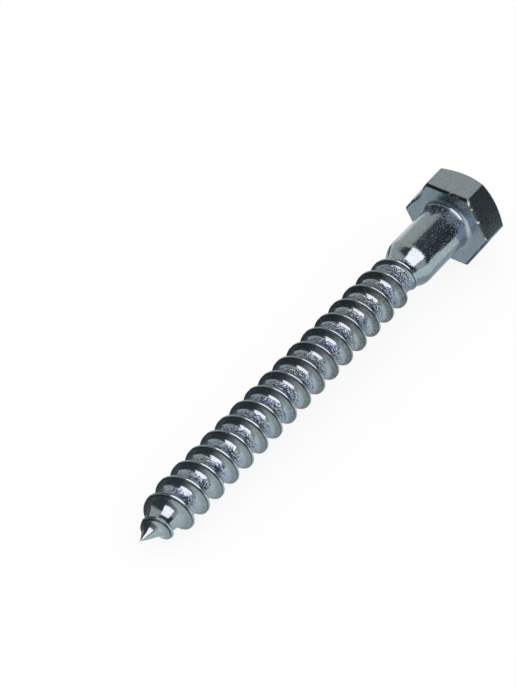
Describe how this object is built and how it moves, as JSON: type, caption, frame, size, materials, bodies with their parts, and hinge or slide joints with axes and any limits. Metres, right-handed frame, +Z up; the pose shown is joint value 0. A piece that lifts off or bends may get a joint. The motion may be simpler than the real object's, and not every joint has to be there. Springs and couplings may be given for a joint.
{
  "type": "lag screw",
  "caption": "Hex-head lag screw with a smooth shank under the head and a coarse right-hand wood thread that runs down to a gimlet point.",
  "frame": {"origin": "middle of the bearing face under the head, on the screw's axis", "axes": "+X along the screw towards its point, with the axis dipping about 2 degrees below +X, as the screw lies at rest; +Z up; the head rests on one flat"},
  "size_m": [0.0857, 0.0146, 0.0128],
  "materials": {
    "zinc_plated_steel": "bright blue-white zinc plating on cold-formed steel, slightly mottled in the thread roots"
  },
  "bodies": {
    "root": {"lag_screw": "zinc_plated_steel"}
  },
  "joints": []
}
